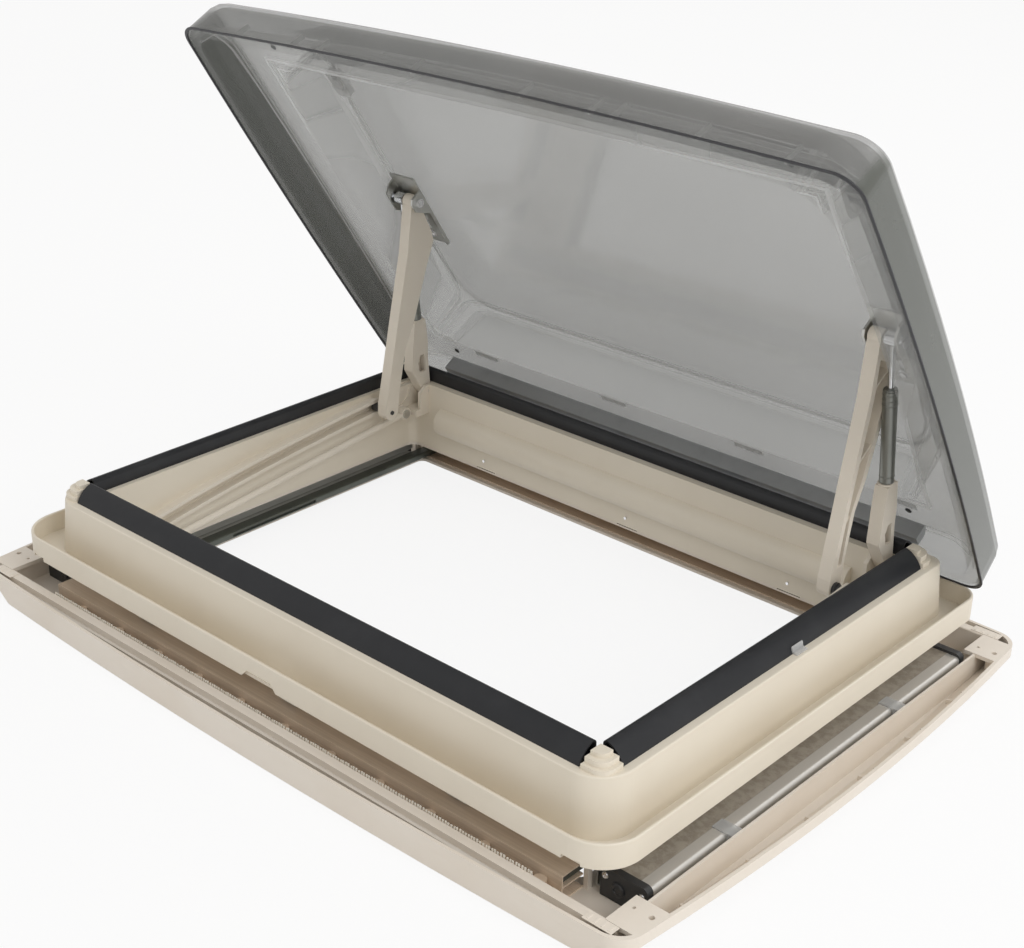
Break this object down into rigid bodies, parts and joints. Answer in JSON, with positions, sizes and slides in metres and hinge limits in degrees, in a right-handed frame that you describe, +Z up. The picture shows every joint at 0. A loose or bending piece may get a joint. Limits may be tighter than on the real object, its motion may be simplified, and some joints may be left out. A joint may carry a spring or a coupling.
{
  "type": "roof light",
  "caption": "Hinged roof light: smoked double dome on a raised frame, side lifting arms with gas springs, fold-down bow, bowed ceiling frame with flyscreen and blackout roller blinds.",
  "frame": {"origin": "centre of the roof cut-out, on the roof's outer skin", "axes": "+Z up out of the roof, +X along the hinge, +Y from the opening side to the hinge side"},
  "size_m": [0.88, 0.6323, 0.5744],
  "materials": {
    "cream_plastic": "satin",
    "ceiling_plastic": "satin",
    "smoked_shell": "gloss",
    "inner_pane": "gloss",
    "seal_rubber": "matte",
    "weld_strip": "satin",
    "zinc_steel": "satin",
    "chrome_screw": "polished",
    "aluminium_profile": "satin",
    "dark_cylinder": "satin",
    "rod_chrome": "polished",
    "tan_track": "satin",
    "clear_clip": "gloss",
    "black_plastic": "satin",
    "grip_plastic": "satin",
    "bristle": "matte",
    "net_cloth": "matte",
    "blackout_fabric": "matte",
    "green_grey_profile": "satin"
  },
  "bodies": {
    "frame": {"roof_frame": "cream_plastic", "front_seal": "seal_rubber", "rear_seal": "seal_rubber", "right_seal": "seal_rubber", "left_seal": "seal_rubber", "seal_corner_plugs": "cream_plastic", "hinge_pins": "zinc_steel", "mounting_claws": "zinc_steel", "claw_screws": "chrome_screw", "right_guide_rail": "cream_plastic", "left_guide_rail": "cream_plastic", "right_corner_bracket": "cream_plastic", "left_corner_bracket": "cream_plastic", "right_fork_pin": "zinc_steel", "left_fork_pin": "zinc_steel", "bow_holders": "cream_plastic", "ceiling_frame": "ceiling_plastic", "front_blind_track": "tan_track", "rear_blind_track": "tan_track", "groove_strips": "tan_track", "front_brush": "bristle", "rear_brush": "bristle", "flyscreen_cassette": "aluminium_profile", "blackout_cassette": "aluminium_profile", "cassette_end_brackets": "black_plastic", "cassette_clips": "clear_clip", "flyscreen_cloth": "net_cloth", "blackout_cloth": "blackout_fabric"},
    "dome": {"dome_shell": "smoked_shell", "dome_pane": "inner_pane", "rim_strip": "weld_strip", "dome_hinge_bar": "aluminium_profile", "right_dome_bracket": "zinc_steel", "left_dome_bracket": "zinc_steel", "dome_bracket_screws": "chrome_screw", "dome_latch_seats": "clear_clip", "dome_rear_pads": "clear_clip", "right_head_pin": "chrome_screw", "left_head_pin": "chrome_screw"},
    "right_arm": {"right_lift_arm": "cream_plastic", "right_foot_roller": "black_plastic"},
    "left_arm": {"left_lift_arm": "cream_plastic", "left_foot_roller": "black_plastic"},
    "right_spring": {"right_spring_fork": "cream_plastic", "right_spring_cylinder": "dark_cylinder"},
    "left_spring": {"left_spring_fork": "cream_plastic", "left_spring_cylinder": "dark_cylinder"},
    "right_rod": {"right_spring_rod": "rod_chrome"},
    "left_rod": {"left_spring_rod": "rod_chrome"},
    "bow": {"operating_bow": "cream_plastic", "bow_pivot_pins": "zinc_steel", "bow_grip": "grip_plastic"},
    "right_button": {"right_bow_button": "grip_plastic"},
    "left_button": {"left_bow_button": "grip_plastic"},
    "flyscreen_pull": {"flyscreen_bar": "green_grey_profile"},
    "blackout_pull": {"blackout_bar": "green_grey_profile"},
    "flyscreen_reel": {"flyscreen_roller": "aluminium_profile", "flyscreen_roll": "net_cloth"},
    "blackout_reel": {"blackout_roller": "aluminium_profile", "blackout_roll": "blackout_fabric"}
  },
  "joints": [
    {"name": "dome_hinge", "type": "hinge", "parent": "frame", "child": "dome", "pos_m": [0, 0.266, 0.047], "axis": [1, 0, 0], "range_deg": [0, 56.26]},
    {"name": "right_arm_pivot", "type": "hinge", "parent": "dome", "child": "right_arm", "pos_m": [0.2965, 0.19335, 0.28504], "axis": [1, 0, 0], "range_deg": [-107.8, 0]},
    {"name": "left_arm_pivot", "type": "hinge", "parent": "dome", "child": "left_arm", "pos_m": [-0.2965, 0.19335, 0.28504], "axis": [1, 0, 0], "range_deg": [-107.8, 0]},
    {"name": "right_spring_pivot", "type": "hinge", "parent": "frame", "child": "right_spring", "pos_m": [0.3115, 0.224, 0.05], "axis": [1, 0, 0], "range_deg": [0, 63.3]},
    {"name": "left_spring_pivot", "type": "hinge", "parent": "frame", "child": "left_spring", "pos_m": [-0.3115, 0.224, 0.05], "axis": [1, 0, 0], "range_deg": [0, 63.3]},
    {"name": "right_rod_slide", "type": "slide", "parent": "right_spring", "child": "right_rod", "axis": [0, -0.1293, 0.9916], "range_m": [-0.0291, 0]},
    {"name": "left_rod_slide", "type": "slide", "parent": "left_spring", "child": "left_rod", "axis": [0, -0.1293, 0.9916], "range_m": [-0.0291, 0]},
    {"name": "bow_pivot", "type": "hinge", "parent": "frame", "child": "bow", "pos_m": [0, 0.19, 0.028], "axis": [-1, 0, 0], "range_deg": [-75, 0]},
    {"name": "right_button_press", "type": "slide", "parent": "frame", "child": "right_button", "axis": [0, -1, 0], "range_m": [0, 0.004], "stiffness_N_per_m": 200, "springref_m": -0.002},
    {"name": "left_button_press", "type": "slide", "parent": "frame", "child": "left_button", "axis": [0, -1, 0], "range_m": [0, 0.004], "stiffness_N_per_m": 200, "springref_m": -0.002},
    {"name": "flyscreen_slide", "type": "slide", "parent": "frame", "child": "flyscreen_pull", "axis": [-1, 0, 0], "range_m": [0, 0.64]},
    {"name": "blackout_slide", "type": "slide", "parent": "frame", "child": "blackout_pull", "axis": [1, 0, 0], "range_m": [0, 0.64]},
    {"name": "flyscreen_reel_spin", "type": "hinge", "parent": "frame", "child": "flyscreen_reel", "pos_m": [0.37, 0, -0.0385], "axis": [0, -1, 0], "range_deg": [0, 4740]},
    {"name": "blackout_reel_spin", "type": "hinge", "parent": "frame", "child": "blackout_reel", "pos_m": [-0.37, 0, -0.0385], "axis": [0, -1, 0], "range_deg": [0, 4740]}
  ],
  "couplings": [
    {"joint": "right_arm_pivot", "follows": "dome_hinge", "ratio": -1.9137},
    {"joint": "left_arm_pivot", "follows": "dome_hinge", "ratio": -1.9137},
    {"joint": "right_spring_pivot", "follows": "dome_hinge", "ratio": 1.1243},
    {"joint": "left_spring_pivot", "follows": "dome_hinge", "ratio": 1.1243},
    {"joint": "right_rod_slide", "follows": "dome_hinge", "m_per_rad": -0.029558},
    {"joint": "left_rod_slide", "follows": "dome_hinge", "m_per_rad": -0.029558},
    {"joint": "flyscreen_reel_spin", "follows": "flyscreen_slide", "rad_per_m": 129},
    {"joint": "blackout_reel_spin", "follows": "blackout_slide", "rad_per_m": 129}
  ]
}
